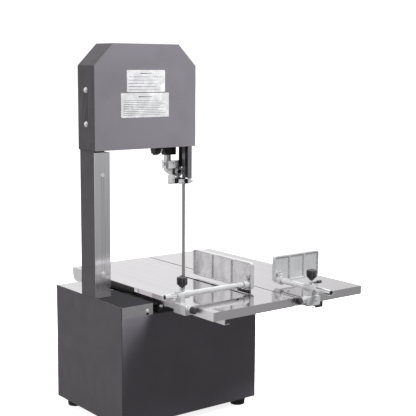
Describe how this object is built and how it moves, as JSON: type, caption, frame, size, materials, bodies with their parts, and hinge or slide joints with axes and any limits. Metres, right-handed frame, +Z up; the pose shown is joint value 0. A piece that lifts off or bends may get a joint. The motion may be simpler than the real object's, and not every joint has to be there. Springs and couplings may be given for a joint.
{
  "type": "bone saw",
  "caption": "Bench-top bone saw: dark steel cabinet and column, wheel head, vertical band blade, stainless two-leaf table, gauge fence and pusher plate on chrome rods",
  "frame": {"origin": "on the floor, at the middle of the cabinet's footprint and of its four foot bolt holes", "axes": "+X towards the table's free side and the blade, +Y towards the back, +Z up; the operator stands at -Y"},
  "size_m": [0.5319, 0.6335, 0.85],
  "materials": {
    "grey_paint": "semi-gloss dark grey powder coat",
    "dark_paint": "black powder coat",
    "stainless": "near-mirror brushed stainless steel",
    "chrome": "bright chrome plate",
    "steel": "machined steel",
    "blade_steel": "ground blade steel",
    "cast_aluminium": "cast aluminium, lightly polished",
    "cast_iron": "machined grey iron",
    "black_plastic": "moulded black plastic",
    "rubber": "black rubber",
    "plate_white": "blank white data plate",
    "green_plastic": "green button",
    "red_plastic": "red button"
  },
  "bodies": {
    "frame": {"base_cabinet": "grey_paint", "hinge_pins": "steel", "deck_tray": "stainless", "support_bars": "dark_paint", "rubber_feet": "rubber", "column_channel": "grey_paint", "column_cover": "stainless", "panel_screws": "chrome", "head_housing": "grey_paint", "head_bolts": "chrome", "tension_guides": "dark_paint", "saw_blade": "blade_steel", "shaft_housing": "cast_iron", "shaft_bearings": "steel", "drive_belt": "rubber", "drive_motor": "dark_paint", "drive_plate": "dark_paint", "guide_holder": "dark_paint", "main_table": "stainless", "side_table": "stainless", "table_rail": "stainless", "fence_bracket": "cast_aluminium", "pusher_bracket": "cast_aluminium", "switch_box": "black_plastic", "cable_gland": "black_plastic"},
    "cabinet_door": {"cabinet_door": "grey_paint"},
    "door_latch": {"door_latch": "black_plastic"},
    "head_door": {"head_door": "grey_paint", "data_plates": "plate_white"},
    "tension_slide": {"tension_slide": "steel", "upper_axle": "steel"},
    "tension_knob": {"tension_knob": "black_plastic", "tension_screw": "steel"},
    "upper_wheel": {"upper_wheel": "cast_aluminium", "upper_bearings": "steel"},
    "lower_wheel": {"lower_wheel": "cast_aluminium", "lower_shaft": "steel", "driven_pulley": "cast_iron"},
    "motor_pulley": {"motor_pulley": "cast_iron"},
    "holder_knob": {"holder_knob": "black_plastic"},
    "guide_post": {"guide_post": "steel", "guide_bracket": "cast_aluminium", "roller_pin": "steel", "guide_pads": "dark_paint", "guide_screws": "chrome", "blade_guard": "steel"},
    "blade_roller": {"blade_roller": "steel"},
    "fence_rod": {"fence_rod": "chrome"},
    "fence_plate": {"fence_plate": "cast_aluminium", "fence_screw": "chrome", "fence_shoe": "black_plastic"},
    "fence_knob": {"fence_knob": "black_plastic"},
    "fence_clamp": {"fence_clamp": "black_plastic"},
    "pusher_rod": {"pusher_rod": "chrome"},
    "pusher_plate": {"pusher_plate": "cast_aluminium", "pusher_screw": "chrome"},
    "pusher_knob": {"pusher_knob": "black_plastic"},
    "pusher_clamp": {"pusher_clamp": "black_plastic"},
    "start_button": {"start_button": "green_plastic"},
    "stop_button": {"stop_button": "red_plastic"}
  },
  "joints": [
    {"name": "cabinet_door_hinge", "type": "hinge", "parent": "frame", "child": "cabinet_door", "pos_m": [-0.163, 0.1462, 0.14], "axis": [0, 0, 1], "range_deg": [0, 110]},
    {"name": "door_latch_turn", "type": "hinge", "parent": "cabinet_door", "child": "door_latch", "pos_m": [0.14, 0.142, 0.14], "axis": [0, 1, 0], "range_deg": [0, 90]},
    {"name": "head_door_hinge", "type": "hinge", "parent": "frame", "child": "head_door", "pos_m": [0.0823, -0.0358, 0.734], "axis": [0, 0, 1], "range_deg": [0, 115]},
    {"name": "tension_travel", "type": "slide", "parent": "frame", "child": "tension_slide", "axis": [0, 0, 1], "range_m": [-0.004, 0]},
    {"name": "tension_knob_turn", "type": "hinge", "parent": "frame", "child": "tension_knob", "pos_m": [-0.0443, 0.0435, 0.66], "axis": [0, 0, 1], "range_deg": [-960, 0]},
    {"name": "upper_wheel_spin", "type": "hinge", "parent": "tension_slide", "child": "upper_wheel", "pos_m": [-0.0443, -0.018, 0.733], "axis": [0, 1, 0], "continuous": true},
    {"name": "lower_wheel_spin", "type": "hinge", "parent": "frame", "child": "lower_wheel", "pos_m": [-0.0443, -0.018, 0.148], "axis": [0, 1, 0], "continuous": true},
    {"name": "motor_pulley_spin", "type": "hinge", "parent": "frame", "child": "motor_pulley", "pos_m": [0.12, 0.06, 0.092], "axis": [0, 1, 0], "continuous": true},
    {"name": "holder_knob_turn", "type": "hinge", "parent": "frame", "child": "holder_knob", "pos_m": [0.01, 0.008, 0.609], "axis": [1, 0, 0], "range_deg": [0, 180]},
    {"name": "guide_post_travel", "type": "slide", "parent": "frame", "child": "guide_post", "axis": [0, 0, 1], "range_m": [-0.165, 0.005]},
    {"name": "blade_roller_spin", "type": "hinge", "parent": "guide_post", "child": "blade_roller", "pos_m": [0.0569, -0.0083, 0.557], "axis": [0, 1, 0], "continuous": true},
    {"name": "fence_rod_travel", "type": "slide", "parent": "frame", "child": "fence_rod", "axis": [1, 0, 0], "range_m": [-0.012, 0.028]},
    {"name": "fence_plate_swing", "type": "hinge", "parent": "fence_rod", "child": "fence_plate", "pos_m": [0.09, -0.232, 0.3235], "axis": [1, 0, 0], "range_deg": [0, 90]},
    {"name": "fence_knob_turn", "type": "hinge", "parent": "frame", "child": "fence_knob", "pos_m": [-0.094, -0.232, 0.345], "axis": [0, 0, 1], "range_deg": [-90, 270]},
    {"name": "fence_clamp_turn", "type": "hinge", "parent": "frame", "child": "fence_clamp", "pos_m": [-0.1015, -0.28, 0.3005], "axis": [0, 1, 0], "range_deg": [-90, 270]},
    {"name": "pusher_rod_travel", "type": "slide", "parent": "frame", "child": "pusher_rod", "axis": [0, 1, 0], "range_m": [-0.05, 0.035]},
    {"name": "pusher_plate_swing", "type": "hinge", "parent": "pusher_rod", "child": "pusher_plate", "pos_m": [0.178, -0.228, 0.3215], "axis": [0, -1, 0], "range_deg": [0, 90]},
    {"name": "pusher_knob_turn", "type": "hinge", "parent": "frame", "child": "pusher_knob", "pos_m": [0.178, -0.3395, 0.345], "axis": [0, 0, 1], "range_deg": [-90, 270]},
    {"name": "pusher_clamp_turn", "type": "hinge", "parent": "frame", "child": "pusher_clamp", "pos_m": [0.135, -0.3481, 0.3005], "axis": [1, 0, 0], "range_deg": [-90, 270]},
    {"name": "start_button_press", "type": "slide", "parent": "frame", "child": "start_button", "axis": [-1, 0, 0], "range_m": [0, 0.003]},
    {"name": "stop_button_press", "type": "slide", "parent": "frame", "child": "stop_button", "axis": [-1, 0, 0], "range_m": [0, 0.003]}
  ],
  "couplings": [
    {"joint": "upper_wheel_spin", "follows": "lower_wheel_spin", "ratio": 1},
    {"joint": "motor_pulley_spin", "follows": "lower_wheel_spin", "ratio": 2.8889},
    {"joint": "tension_knob_turn", "follows": "tension_travel", "rad_per_m": 4188.8}
  ]
}
